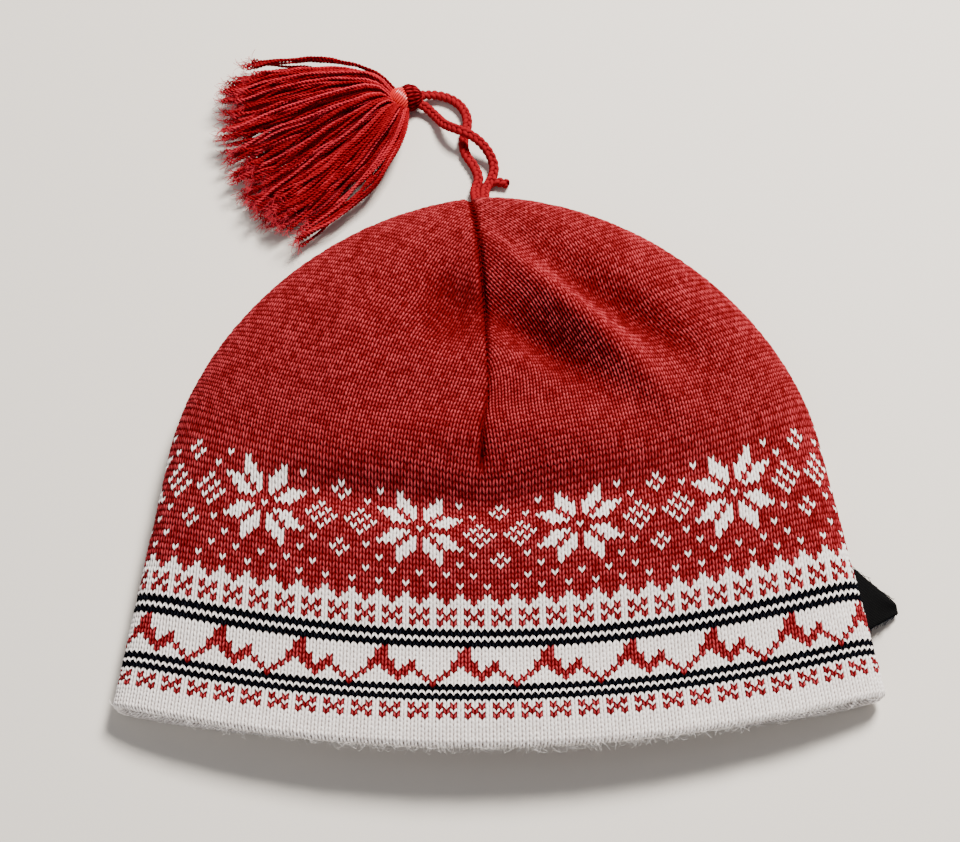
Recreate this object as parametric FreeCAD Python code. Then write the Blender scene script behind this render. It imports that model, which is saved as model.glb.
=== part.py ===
import FreeCAD, Part
import math
import os

from FreeCAD import Vector

# Knit beanie lying flat on its back layer, millimetres.
# +X across the hat, +Y from the hem to the crown tip, +Z up.
# The origin is on the flat underside of the back layer, on the hat's centre line.

# Plan of the flat hat
HEM_HALF_WIDTH = 113.0
HEM_CORNER_Y = -77.0
HEM_BOW_RADIUS = 384.0
HEM_MIDDLE_Y = -94.0
SIDE_TAPER = 0.136
DOME_START_Y = 5.0
DOME_LENGTH = 93.5
TIP_Y = DOME_START_Y + DOME_LENGTH

# Heights of the padded-out layers
EDGE_Z = 6.5
HEM_HEIGHT = 16.5
CROWN_HEIGHT = 33.0
CROWN_TOP_Y = 25.0
TIP_HEIGHT = 12.0
TOP_FULLNESS = 0.8
EDGE_ROUNDNESS = 6
UNDERSIDE_SINK = 0.3

# Layers
KNIT_WALL = 2.4
FLEECE_WALL = 1.8
THREAD_DEPTH = 0.8
SEAM_WIDTH = 1.0

# Bands measured up from the hem
FLEECE_START = 12.0
FLEECE_END = 75.0
HEM_STITCH_AT = 9.0
FLEECE_STITCH_AT = 77.0
DART_START_Y = -8.0
DART_STOP_Y = 92.0
DART_X = -3.2

# Label tab in the right side seam
LABEL_LOW_Y = -56.5
LABEL_HIGH_Y = -35.0
LABEL_REACH = 12.0
LABEL_TIP_WIDTH = 12.0
LABEL_THICKNESS = 1.2
LABEL_GAP = 1.0
LABEL_DROOP = 20.0

# Cord, its pivot at the crown tip, and the tassel
CORD_DIAMETER = 2.8
PIVOT = Vector(DART_X, 102.5, 5.0)
ROOT_BALL_RADIUS = 3.2
ROOT_NECK_RADIUS = 2.4
ANCHOR_KNOT_RADIUS = 3.3
ANCHOR_KNOT_Y = 90.0
KNOT = Vector(-29.0, 149.5, 5.2)
KNOT_RADIUS = 5.0
NECK_RADIUS = 3.4
SKIRT_REACH = 72.0
SKIRT_START = 10.0
SKIRT_HEIGHT = 7.0
SKIRT_MIDDLE_DEG = 206.0
SKIRT_HALF_SPREAD_DEG = 38.0
FLOOR_GAP = 0.1

LEG_A_ROUTE = [
    (-4.8, 106.6, 4.6), (-5.0, 111.2, 2.2), (-3.2, 115.8, 1.6), (-4.8, 121.4, 1.6),
    (-8.3, 127.0, 1.6), (-8.9, 133.4, 1.6), (-7.0, 139.6, 1.6), (-7.6, 145.4, 1.6),
    (-11.0, 150.4, 1.7), (-16.6, 153.2, 2.2), (-23.0, 152.4, 3.6)]
LEG_B_ROUTE = [
    (-1.6, 106.6, 4.6), (-1.6, 111.2, 2.2), (1.0, 115.8, 1.7), (2.3, 121.2, 1.9),
    (0.0, 126.4, 4.6), (-4.6, 130.4, 7.4), (-10.8, 133.8, 7.4), (-15.4, 138.2, 4.4),
    (-18.0, 143.4, 2.0), (-22.4, 147.2, 2.6)]
STUB_ROUTE = [(2.9, 114.6, 1.6), (6.6, 113.6, 1.7)]


def half_width(y, inset):
    """Half the plan width at y, for a surface inset from the outside."""
    straight = HEM_HALF_WIDTH - SIDE_TAPER * (y - HEM_CORNER_Y) - inset
    past = max(0.0, y - DOME_START_Y) / (DOME_LENGTH - inset)
    return straight * math.sqrt(max(0.0, 1.0 - past * past))


def top_height(y, inset):
    """Height of the front layer above the table on the centre line at y."""
    if y < CROWN_TOP_Y:
        t = max(0.0, (y - HEM_MIDDLE_Y) / (CROWN_TOP_Y - HEM_MIDDLE_Y))
        rise = t * t * (3.0 - 2.0 * t)
        return HEM_HEIGHT + (CROWN_HEIGHT - HEM_HEIGHT) * rise - inset
    t = min(1.0, (y - CROWN_TOP_Y) / (TIP_Y - CROWN_TOP_Y))
    return TIP_HEIGHT + (CROWN_HEIGHT - TIP_HEIGHT) * math.sqrt(1.0 - t * t) - inset


def section(y, inset, bottom):
    """Closed lens-shaped wire across the hat at y: an arched top edge and a flat lower edge."""
    count = 16
    wide = half_width(y, inset)
    high = top_height(y, inset)
    upper = []
    lower = []
    for i in range(count + 1):
        turn = math.pi * i / count
        side = math.sin(turn)
        across = wide * math.cos(turn)
        upper.append(Vector(across, y, EDGE_Z + (high - EDGE_Z) * side ** TOP_FULLNESS))
        sink = 1.0 - (1.0 - side) ** EDGE_ROUNDNESS
        lower.append(Vector(-across, y, EDGE_Z - (EDGE_Z - bottom) * sink))
    edges = []
    for points in (upper, lower):
        curve = Part.BSplineCurve()
        curve.interpolate(points)
        edges.append(curve.toShape())
    return Part.Wire(edges)


def form(inset):
    """Solid of the whole hat, inset from its outside."""
    bottom = inset if inset > 0 else -UNDERSIDE_SINK
    start = HEM_MIDDLE_Y - 8.0
    stations = [start + (DOME_START_Y - start) * i / 4 for i in range(5)]
    reach = DOME_LENGTH - inset
    for angle in (17, 33, 48, 61, 72, 80, 85.5):
        stations.append(DOME_START_Y + reach * math.sin(math.radians(angle)))
    solid = Part.makeLoft([section(y, inset, bottom) for y in stations], True, False)
    return solid


def bow_disc(from_hem):
    """Tall disc whose rim runs parallel to the bowed hem, from_hem inside it."""
    radius = HEM_BOW_RADIUS - from_hem
    centre_y = HEM_MIDDLE_Y + HEM_BOW_RADIUS
    return Part.makeCylinder(radius, 80.0, Vector(0, centre_y, -20.0))


def box(x0, x1, y0, y1, z0, z1):
    return Part.makeBox(x1 - x0, y1 - y0, z1 - z0, Vector(x0, y0, z0))


def seam_slabs():
    """Thin spaces that the seam threads fill, by node name."""
    half = SEAM_WIDTH / 2.0
    far = 200.0
    wide = 8.0
    slabs = {
        "front_dart_seam": box(DART_X - half, DART_X + half, DART_START_Y, DART_STOP_Y, EDGE_Z, far),
        "back_dart_seam": box(DART_X - half, DART_X + half, DART_START_Y, DART_STOP_Y, -far, EDGE_Z),
        "left_dart_seam": box(-far, -wide, DART_START_Y, far, EDGE_Z - half, EDGE_Z + half),
        "right_dart_seam": box(wide, far, DART_START_Y, far, EDGE_Z - half, EDGE_Z + half),
        "side_seam_lower": box(wide, far, -far, LABEL_LOW_Y, EDGE_Z - half, EDGE_Z + half),
        "label_stitching": box(wide, far, LABEL_LOW_Y, LABEL_HIGH_Y, EDGE_Z - half, EDGE_Z + half),
        "side_seam_upper": box(wide, far, LABEL_HIGH_Y, DART_START_Y, EDGE_Z - half, EDGE_Z + half)}
    return slabs


def tip_hole():
    """Hole in the crown tip that the cord's root passes through."""
    start = Vector(DART_X, ANCHOR_KNOT_Y, EDGE_Z)
    return Part.makeCylinder(ROOT_NECK_RADIUS, PIVOT.y - ANCHOR_KNOT_Y, start, Vector(0, 1, 0))


def knit_pieces():
    """The knitted shell with its seams and the stitching rings, by node name."""
    outside = form(0.0).common(box(-200, 200, -200, 200, 0, 80)).common(bow_disc(0.0))
    inside = form(KNIT_WALL)
    shell = outside.cut(inside)
    thread_space = form(KNIT_WALL - THREAD_DEPTH).cut(inside)
    pieces = {}
    for name, at in (("hem_stitching", HEM_STITCH_AT), ("headband_stitching", FLEECE_STITCH_AT)):
        pieces[name] = thread_space.common(bow_disc(at)).cut(bow_disc(at + SEAM_WIDTH))
    for ring in pieces.values():
        shell = shell.cut(ring)
    for name, slab in seam_slabs().items():
        pieces[name] = shell.common(slab)
    for slab in seam_slabs().values():
        shell = shell.cut(slab)
    pieces["knit_shell"] = shell.cut(tip_hole())
    return pieces


def fleece_headband():
    """Soft ear band inside the knit, round the whole opening."""
    liner = form(KNIT_WALL).cut(form(KNIT_WALL + FLEECE_WALL))
    return liner.common(bow_disc(FLEECE_START)).cut(bow_disc(FLEECE_END))


def cord_root():
    """Cord end through the crown tip: knot inside, neck in the hole, ball at the pivot."""
    knot = Part.makeSphere(ANCHOR_KNOT_RADIUS, Vector(DART_X, ANCHOR_KNOT_Y - 1.0, EDGE_Z))
    ball = Part.makeSphere(ROOT_BALL_RADIUS, PIVOT)
    return knot.fuse(tip_hole()).fuse(ball)


def label_hinge_line():
    """The two ends of the line that the label tab turns about."""
    low = Vector(half_width(LABEL_LOW_Y, 0.0) + LABEL_GAP, LABEL_LOW_Y, EDGE_Z)
    high = Vector(half_width(LABEL_HIGH_Y, 0.0) + LABEL_GAP, LABEL_HIGH_Y, EDGE_Z)
    return low, high


def label_tab():
    """Folded textile tab that droops from the side seam to the table."""
    low, high = label_hinge_line()
    along = (high - low).normalize()
    out = Vector(along.y, -along.x, 0)
    middle = (low + high) * 0.5
    tip = middle + out * LABEL_REACH
    half = LABEL_THICKNESS / 2.0
    lift = Vector(0, 0, -half)
    corners = [low + lift, tip - along * (LABEL_TIP_WIDTH / 2.0) + lift,
               tip + along * (LABEL_TIP_WIDTH / 2.0) + lift, high + lift]
    outline = Part.makePolygon(corners + [corners[0]])
    tab = Part.Face(outline).extrude(Vector(0, 0, LABEL_THICKNESS))
    tab.rotate(low, along, LABEL_DROOP)
    return tab


def tube(name, route):
    """Straight runs joined by tangent arcs, as large as the runs allow, swept with a circle."""
    points = [Vector(*p) for p in route]
    edges = []
    here = points[0]
    radii = []
    for before, corner, after in zip(points, points[1:], points[2:]):
        back = (before - corner).normalize()
        ahead = (after - corner).normalize()
        turn = math.pi - back.getAngle(ahead)
        reach = 0.45 * min((before - corner).Length, (after - corner).Length)
        radius = reach / math.tan(turn / 2.0)
        radii.append(radius)
        start = corner + back * reach
        end = corner + ahead * reach
        bisector = (back + ahead).normalize()
        centre = corner + bisector * (radius / math.cos(turn / 2.0))
        middle = centre - bisector * radius
        edges.append(Part.LineSegment(here, start).toShape())
        edges.append(Part.Arc(start, middle, end).toShape())
        here = end
    edges.append(Part.LineSegment(here, points[-1]).toShape())
    path = Part.Wire(edges)
    circle = Part.makeCircle(CORD_DIAMETER / 2.0, points[0], points[1] - points[0])
    solid = path.makePipe(Part.Face(Part.Wire([circle])))
    expected = math.pi * (CORD_DIAMETER / 2.0) ** 2 * path.Length
    print(name, "length", round(path.Length, 1), "radii", [round(r, 1) for r in radii])
    print(name, "volume", round(solid.Volume, 1), "section times length", round(expected, 1))
    return solid


def cord_stub():
    """Short cut end of the cord that stands out beside the first eyelet."""
    start = Vector(*STUB_ROUTE[0])
    end = Vector(*STUB_ROUTE[1])
    stub = Part.makeCylinder(CORD_DIAMETER / 2.0, (end - start).Length, start, end - start)
    return stub


def tassel_knot():
    """Satin-wrapped ball where the cord holds the tassel."""
    return Part.makeSphere(KNOT_RADIUS, KNOT)


def skirt_direction(degrees):
    turn = math.radians(degrees)
    return Vector(math.cos(turn), math.sin(turn), 0)


def tassel_neck():
    """Binding round the folded yarns, between the ball and the skirt."""
    along = skirt_direction(SKIRT_MIDDLE_DEG)
    start = Vector(KNOT.x, KNOT.y, KNOT.z) + along * (KNOT_RADIUS * 0.75)
    neck = Part.makeCylinder(NECK_RADIUS, SKIRT_START - KNOT_RADIUS * 0.75, start, along)
    return neck.cut(tassel_knot())


def tassel_skirt():
    """Fan of loose yarns lying on the table, as one plain wedge."""
    base = Vector(KNOT.x, KNOT.y, FLOOR_GAP)
    first = SKIRT_MIDDLE_DEG - SKIRT_HALF_SPREAD_DEG
    last = SKIRT_MIDDLE_DEG + SKIRT_HALF_SPREAD_DEG
    middle = skirt_direction(SKIRT_MIDDLE_DEG)
    across = Vector(-middle.y, middle.x, 0)
    near_right = base + middle * SKIRT_START - across * NECK_RADIUS
    near_left = base + middle * SKIRT_START + across * NECK_RADIUS
    far_right = base + skirt_direction(first) * SKIRT_REACH
    far_left = base + skirt_direction(last) * SKIRT_REACH
    far_middle = base + middle * SKIRT_REACH
    outline = Part.Wire([
        Part.LineSegment(near_right, far_right).toShape(),
        Part.Arc(far_right, far_middle, far_left).toShape(),
        Part.LineSegment(far_left, near_left).toShape(),
        Part.LineSegment(near_left, near_right).toShape()])
    skirt = Part.Face(outline).extrude(Vector(0, 0, SKIRT_HEIGHT))
    return skirt


def main():
    os.makedirs("parts", exist_ok=True)
    pieces = knit_pieces()
    pieces["fleece_headband"] = fleece_headband()
    pieces["cord_root"] = cord_root()
    pieces["label_tab"] = label_tab()
    pieces["cord_leg_a"] = tube("cord_leg_a", LEG_A_ROUTE)
    pieces["cord_leg_b"] = tube("cord_leg_b", LEG_B_ROUTE)
    pieces["cord_stub"] = cord_stub()
    pieces["tassel_knot"] = tassel_knot()
    pieces["tassel_neck"] = tassel_neck()
    pieces["tassel_skirt"] = tassel_skirt()
    for name, shape in pieces.items():
        box_ = shape.BoundBox
        print(name, shape.isValid(), len(shape.Solids), len(shape.Faces), round(shape.Volume),
              [round(v, 1) for v in (box_.XMin, box_.XMax, box_.YMin, box_.YMax, box_.ZMin, box_.ZMax)])
        shape.exportStep("parts/" + name + ".step")


main()
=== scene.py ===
import math

import bpy
import numpy as np
from mathutils import Matrix, Vector


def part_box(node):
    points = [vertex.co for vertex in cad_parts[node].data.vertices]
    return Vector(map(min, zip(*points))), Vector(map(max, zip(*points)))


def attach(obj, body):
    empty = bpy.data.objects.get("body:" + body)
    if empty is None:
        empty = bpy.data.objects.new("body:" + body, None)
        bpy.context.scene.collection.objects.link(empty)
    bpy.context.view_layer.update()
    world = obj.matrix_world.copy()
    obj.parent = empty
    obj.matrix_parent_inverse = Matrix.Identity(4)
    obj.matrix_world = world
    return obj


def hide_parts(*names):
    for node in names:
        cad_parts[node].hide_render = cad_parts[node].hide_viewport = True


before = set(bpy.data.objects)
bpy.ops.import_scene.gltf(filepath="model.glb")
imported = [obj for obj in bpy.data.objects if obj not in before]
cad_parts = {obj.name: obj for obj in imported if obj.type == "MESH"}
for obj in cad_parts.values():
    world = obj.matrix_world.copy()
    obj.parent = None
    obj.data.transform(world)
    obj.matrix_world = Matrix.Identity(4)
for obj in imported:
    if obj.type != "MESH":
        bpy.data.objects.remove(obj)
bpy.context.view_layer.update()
MM = 0.001

# ---------------- sizes, in millimetres
HAT_LOW, HAT_HIGH = (np.array(corner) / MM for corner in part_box("knit_shell"))
KNOT_LOW, KNOT_HIGH = (np.array(corner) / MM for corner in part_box("tassel_knot"))
ROOT_LOW, ROOT_HIGH = (np.array(corner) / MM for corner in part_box("cord_root"))

# Outline of the lying hat
HEM_HALF_WIDTH = HAT_HIGH[0]
HEM_MIDDLE_Y = HAT_LOW[1]
HEM_BOW = 17.0
HEM_CORNER_Y = HEM_MIDDLE_Y + HEM_BOW
SIDE_TAPER = 0.136
TIP_Y = HAT_HIGH[1] + 0.3
DOME_START_Y = 5.0
DOME_LENGTH = TIP_Y - DOME_START_Y
DART_X = (ROOT_LOW[0] + ROOT_HIGH[0]) / 2
DART_DIP = 3.6
DART_DIP_WIDTH = 17.0
BACK_SETBACK = 6.0

# Heights of the front layer, and how round the side folds are
EDGE_Z = 6.5
HEM_HEIGHT = 16.5
CROWN_HEIGHT = 33.0
CROWN_TOP_Y = 25.0
TIP_HEIGHT = 12.0
TOP_FULLNESS = 0.8
EDGE_ROUNDNESS = 6

# Layers; the ear band's edges are heights above the hem
KNIT_WALL = 2.4
FOLD_RADIUS = 1.2
FLEECE_WALL = 1.8
FLEECE_START = 12.0
FLEECE_END = 75.0
LABEL_LOW_Y = -56.5
LABEL_HIGH_Y = -35.0

# Knit gauge: wales run up the hat and courses run round it
WALES = 216
FRONT_WALES = 114
BACK_WALES = WALES - FRONT_WALES
LEFT_FOLD = -FRONT_WALES // 2
RIGHT_FOLD = FRONT_WALES // 2
FRONT_SEAM_WALE = -2
BACK_SEAM_WALE = FRONT_SEAM_WALE + WALES // 2
COURSE = 1.65
FACING_COURSE = 1.5
MIDDLE_COURSE = (1.30, 0.0053)
SIDE_COURSE = (1.14, 0.0135)
FACING_COURSES = 10
BORDER_COURSES = 24
ROSE_COURSE = 42
DART_COURSE = 53
CROWN_COURSES = 64

# Shape of one stitch, and how finely it is meshed
ARM_RISE = 0.75
YARN_BULGE = 0.85
LEG_STEPS = 3
ROUND_STEPS = 3
TABLE_STEP = 0.25
LINE_STEPS = 260

RED, WHITE, BLACK = 0, 1, 2


# ---------------- materials
def new_material(name):
    """New material, with its nodes, links and shader."""
    material = bpy.data.materials.new(name)
    material.use_nodes = True
    nodes = material.node_tree.nodes
    return material, nodes, material.node_tree.links, nodes["Principled BSDF"]


def add_math(nodes, operation, second):
    """Math node with a fixed second value."""
    node = nodes.new("ShaderNodeMath")
    node.operation = operation
    node.inputs[1].default_value = second
    return node


def add_bump(nodes, links, texture, shader, strength):
    """Bump of a fifth of a millimetre from a texture."""
    bump = nodes.new("ShaderNodeBump")
    bump.inputs["Strength"].default_value = strength
    bump.inputs["Distance"].default_value = 0.0002
    links.new(texture.outputs["Fac"], bump.inputs["Height"])
    links.new(bump.outputs["Normal"], shader.inputs["Normal"])


def add_noise(nodes, links, coords, scale, detail):
    """Noise texture in the piece's own coordinates."""
    noise = nodes.new("ShaderNodeTexNoise")
    noise.inputs["Scale"].default_value = scale
    noise.inputs["Detail"].default_value = detail
    links.new(coords.outputs["Object"], noise.inputs["Vector"])
    return noise


def yarn_material(name, gap, flank, crest_highlight, roughness,
                  sheen=0.0, fibre_scale=1900.0, shine=0.0, flank_at=0.70):
    """Spun yarn: painted shade in the gaps between stitches, a painted highlight on their crests, with fine
    fibres as bump.
    """
    material, nodes, links, shader = new_material(name)
    coords = nodes.new("ShaderNodeTexCoord")
    patches = add_noise(nodes, links, coords, 900.0, 4.0)
    # Vertex attribute of painted shade, with random tone on some pieces, written by make_piece
    painted_shade_and_tone = nodes.new("ShaderNodeAttribute")
    painted_shade_and_tone.attribute_name = "painted_shade_and_tone"
    uneven = add_math(nodes, "MULTIPLY_ADD", 0.5)
    links.new(patches.outputs["Fac"], uneven.inputs[0])
    links.new(painted_shade_and_tone.outputs["Fac"], uneven.inputs[2])
    centred = add_math(nodes, "SUBTRACT", 0.25)
    links.new(uneven.outputs["Value"], centred.inputs[0])
    # Ramp from the painted shade colour in the gaps, through the yarn's colour on the flanks, to the painted
    # highlight colour on the crests
    ramp = nodes.new("ShaderNodeValToRGB")
    ramp.color_ramp.elements[0].position = 0.05
    ramp.color_ramp.elements[0].color = (*gap, 1)
    ramp.color_ramp.elements[1].position = flank_at
    ramp.color_ramp.elements[1].color = (*flank, 1)
    ramp.color_ramp.elements.new(1.0).color = (*crest_highlight, 1)
    links.new(centred.outputs["Value"], ramp.inputs["Fac"])
    links.new(ramp.outputs["Color"], shader.inputs["Base Color"])
    add_bump(nodes, links, add_noise(nodes, links, coords, fibre_scale, 3.0), shader, 0.5)
    shader.inputs["Roughness"].default_value = roughness
    shader.inputs["Sheen Weight"].default_value = sheen
    shader.inputs["Sheen Roughness"].default_value = 0.4
    shader.inputs["Sheen Tint"].default_value = (*crest_highlight, 1)
    shader.inputs["Specular IOR Level"].default_value = shine
    return material


# Colours of each yarn: painted shade in the gaps, the yarn's colour on the flanks and a painted highlight on
# the crests
RED_YARN = yarn_material(
    "red_yarn", (0.010, 0.0, 0.0), (0.125, 0.004, 0.0055), (0.41, 0.044, 0.054), 0.6)
WHITE_YARN = yarn_material(
    "white_yarn", (0.10, 0.06, 0.055), (0.76, 0.70, 0.67), (0.96, 0.92, 0.90), 0.62, flank_at=0.58)
BLACK_YARN = yarn_material(
    "black_yarn", (0.0, 0.0, 0.0), (0.001, 0.001, 0.002), (0.006, 0.007, 0.011), 0.75)
CORD_YARN = yarn_material(
    "cord_yarn", (0.01, 0.0, 0.0), (0.09, 0.002, 0.004), (0.25, 0.009, 0.014), 0.5)
TASSEL_YARN = yarn_material(
    "tassel_yarn", (0.08, 0.001, 0.002), (0.28, 0.006, 0.011), (0.52, 0.028, 0.046), 0.5, sheen=0.1)
SATIN = yarn_material(
    "satin_wrap", (0.14, 0.001, 0.001), (0.46, 0.006, 0.008), (0.70, 0.020, 0.022), 0.28,
    sheen=0.1, fibre_scale=900.0, shine=0.5)
SEAM_THREAD = yarn_material(
    "seam_thread", (0.02, 0.0, 0.0), (0.055, 0.001, 0.0015), (0.12, 0.003, 0.004), 0.6)
RED_THREAD = yarn_material(
    "red_thread", (0.02, 0.0, 0.0), (0.15, 0.001, 0.003), (0.28, 0.003, 0.007), 0.5, sheen=0.05)
FLEECE = yarn_material(
    "fleece_pile", (0.06, 0.001, 0.002), (0.12, 0.001, 0.004), (0.22, 0.003, 0.008), 0.9,
    sheen=0.4, fibre_scale=700.0)


def label_material():
    """Black tape with a fine diagonal twill."""
    material, nodes, links, shader = new_material("label_textile")
    coords = nodes.new("ShaderNodeTexCoord")
    twill = nodes.new("ShaderNodeTexWave")
    twill.bands_direction = "DIAGONAL"
    twill.inputs["Scale"].default_value = 650.0
    twill.inputs["Distortion"].default_value = 1.5
    links.new(coords.outputs["Object"], twill.inputs["Vector"])
    ramp = nodes.new("ShaderNodeValToRGB")
    ramp.color_ramp.elements[0].color = (0.0002, 0.0002, 0.0003, 1)
    ramp.color_ramp.elements[1].color = (0.0012, 0.0012, 0.0015, 1)
    links.new(twill.outputs["Fac"], ramp.inputs["Fac"])
    links.new(ramp.outputs["Color"], shader.inputs["Base Color"])
    add_bump(nodes, links, twill, shader, 0.6)
    shader.inputs["Roughness"].default_value = 0.7
    shader.inputs["Specular IOR Level"].default_value = 0.05
    return material


LABEL_TEXTILE = label_material()


# ---------------- mesh helpers
def make_piece(name, points, quads, materials, body, nodes=(), face_materials=None, painted_shade_and_tone=None):
    """Mesh object from points in millimetres and four-sided faces, in place of the named CAD nodes."""
    quads = np.asarray(quads, dtype=np.int64)
    mesh = bpy.data.meshes.new(name)
    mesh.vertices.add(len(points))
    mesh.vertices.foreach_set("co", (np.asarray(points) * MM).astype(np.float32).ravel())
    mesh.loops.add(quads.size)
    mesh.loops.foreach_set("vertex_index", quads.ravel())
    mesh.polygons.add(len(quads))
    mesh.polygons.foreach_set("loop_start", np.arange(0, quads.size, 4))
    mesh.polygons.foreach_set("use_smooth", np.ones(len(quads), dtype=bool))
    for material in materials:
        mesh.materials.append(material)
    if face_materials is not None:
        mesh.polygons.foreach_set("material_index", np.asarray(face_materials, dtype=np.int32))
    # Per-vertex painted shade, with random tone on some pieces, which the yarn materials turn into gap, flank
    # and crest colours
    shade = np.ones(len(points)) if painted_shade_and_tone is None else np.asarray(painted_shade_and_tone)
    mesh.attributes.new("painted_shade_and_tone", "FLOAT", "POINT").data.foreach_set("value", shade.astype(np.float32).ravel())
    mesh.update(calc_edges=True)
    piece = bpy.data.objects.new(name, mesh)
    bpy.context.scene.collection.objects.link(piece)
    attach(piece, body)
    if nodes:
        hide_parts(*nodes)
    return piece


def grid_quads(rows, columns):
    """Corner indices of a grid's faces, row by row."""
    start = np.arange(rows - 1)[:, None] * columns + np.arange(columns - 1)[None, :]
    return np.stack([start, start + 1, start + columns + 1, start + columns], axis=-1).reshape(-1, 4)


def unit(vectors):
    """The same directions at length one."""
    return vectors / np.maximum(np.linalg.norm(vectors, axis=-1, keepdims=True), 1e-9)


def smooth_step(t):
    """Smooth rise from 0 to 1 as t does."""
    t = np.clip(t, 0.0, 1.0)
    return t * t * (3.0 - 2.0 * t)


# ---------------- shape of the lying hat
def half_width(y, inset):
    """Half the plan width at y."""
    straight = HEM_HALF_WIDTH - SIDE_TAPER * (y - HEM_CORNER_Y) - inset
    past = np.clip((y - DOME_START_Y) / (DOME_LENGTH - inset), 0.0, 1.0)
    return straight * np.sqrt(1.0 - past * past)


def top_height(y, inset):
    """Height of the front layer on the centre line."""
    rise = smooth_step((y - HEM_MIDDLE_Y) / (CROWN_TOP_Y - HEM_MIDDLE_Y))
    band = HEM_HEIGHT + (CROWN_HEIGHT - HEM_HEIGHT) * rise
    fall = np.clip((y - CROWN_TOP_Y) / (TIP_Y - CROWN_TOP_Y), 0.0, 1.0)
    dome = TIP_HEIGHT + (CROWN_HEIGHT - TIP_HEIGHT) * np.sqrt(1.0 - fall * fall)
    return np.where(y < CROWN_TOP_Y, band, dome) - inset


# Soft folds of the front layer: middle x, middle y, direction in degrees, half length, half width, height
FOLDS = (
    (29, 39, 132, 36, 5.5, 5.2),
    (15, 32, 138, 24, 7.5, -7.5),
    (41, 46, 141, 30, 8, -6.5),
    (-13, 45, 95, 15, 9, -7.5),
    (-46, 24, 80, 34, 10, 1.8),
    (0, 0, 0, 40, 8, 2.4),
    (-38, -18, 172, 36, 7, -4.6),
    (12, -20, 8, 30, 7, -3.4),
    (62, -10, 20, 30, 7, -1.8),
    (0, -86, 0, 70, 12, 2.6),
)


def relief(x, y):
    """Height that the soft folds add to the front layer."""
    total = np.zeros_like(x)
    for middle_x, middle_y, degrees, half_length, half_thick, height in FOLDS:
        turn = math.radians(degrees)
        along = (x - middle_x) * math.cos(turn) + (y - middle_y) * math.sin(turn)
        across = -(x - middle_x) * math.sin(turn) + (y - middle_y) * math.cos(turn)
        total = total + height * np.exp(-(along / half_length) ** 2 - (across / half_thick) ** 2)
    return total


def layer_point(share, y, inset, front):
    """Point of the front or back layer at a share, from -1 to 1, of the half width."""
    wide = half_width(y, inset)
    side = np.sqrt(np.clip(1.0 - share * share, 0.0, 1.0))
    if front:
        high = top_height(y, inset)
        z = EDGE_Z + (high - EDGE_Z) * side ** TOP_FULLNESS + relief(share * wide, y) * side
    else:
        z = EDGE_Z - (EDGE_Z - inset - YARN_BULGE) * (1.0 - (1.0 - side) ** EDGE_ROUNDNESS)
    return np.stack([share * wide, y + 0.0 * share, z], axis=-1)


def course_heights(course):
    """Heights above the hem of a course, at the middle and at the sides, measured over the fabric."""
    if course < 0:
        return FACING_COURSE * course, FACING_COURSE * course
    low = min(course, DART_COURSE)
    heights = [low * (first + second * low) for first, second in (MIDDLE_COURSE, SIDE_COURSE)]
    return [height + (course - low) * COURSE for height in heights]


def turned(along):
    """Height above the hem and inset for a distance over the fabric; under zero is inside the hem."""
    quarter = FOLD_RADIUS * math.pi / 2
    turn = np.clip(along / FOLD_RADIUS, -math.pi / 2, math.pi / 2)
    height = FOLD_RADIUS * (1 - np.cos(turn)) + np.maximum(np.abs(along) - quarter, 0.0)
    return height, FOLD_RADIUS * (1 - np.sin(turn))


def course_y(share, height, front):
    """Plan y at a height above the hem, which bows; the back layer's hem lies a little inside the front's."""
    from_dart = (share * HEM_HALF_WIDTH - DART_X) / DART_DIP_WIDTH
    dip = DART_DIP * np.exp(-from_dart ** 2) * smooth_step((height - 35.0) / 50.0)
    setback = 0.0 if front else BACK_SETBACK * (1 - share * share) * (1 - smooth_step(height / 60.0))
    return HEM_MIDDLE_Y + height + HEM_BOW * share * share - dip + setback


def distances(points):
    """Distance from a polyline's start to each of its points."""
    steps = np.linalg.norm(np.diff(points, axis=0), axis=1)
    return np.concatenate([[0.0], np.cumsum(steps)])


def point_at(points, run, distance):
    """Points at distances along a polyline."""
    return np.stack([np.interp(distance, run, points[:, k]) for k in range(3)], axis=-1)


def even_spacing(points, wanted):
    """Points at wanted shares of a polyline's length."""
    run = distances(points)
    return point_at(points, run, wanted * run[-1])


def fold_to_fold(count):
    """Shares of the half width from the left fold to the right fold, close together near the folds."""
    return -np.cos(np.linspace(0, math.pi, count))


def band_course(course, front):
    """Fine polyline of one course of the band, from the left fold to the right fold."""
    share = fold_to_fold(LINE_STEPS)
    middle, side = course_heights(course)
    height, inset = turned(middle + (side - middle) * share * share)
    return layer_point(share, course_y(share, height, front), inset, front)


class Fabric:
    """Positions of a knitted surface over a grid of courses and wales, read between its nodes."""

    def __init__(self, first_course, table):
        """Keep the positions and work out the directions square to the fabric."""
        self.first = first_course
        self.table = table
        self.normal = unit(np.cross(np.gradient(table, axis=1), np.gradient(table, axis=0)))

    def read(self, grid, column, course):
        """Values of a grid at a column and a course, blended from the four nodes about each."""
        rows, columns = grid.shape[:2]
        v = np.clip((course - self.first) / TABLE_STEP, 0, rows - 1.001)
        u = np.clip(column, 0, columns - 1.001)
        v0 = np.floor(v).astype(int)
        u0 = np.floor(u).astype(int)
        fv = (v - v0)[..., None]
        fu = (u - u0)[..., None]
        low = grid[v0, u0] * (1 - fu) + grid[v0, u0 + 1] * fu
        high = grid[v0 + 1, u0] * (1 - fu) + grid[v0 + 1, u0 + 1] * fu
        return low * (1 - fv) + high * fv

    def place(self, column, course, height):
        """Points at a height above the fabric."""
        normal = self.read(self.normal, column, course)
        return self.read(self.table, column, course) + normal * height[..., None]


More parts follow.
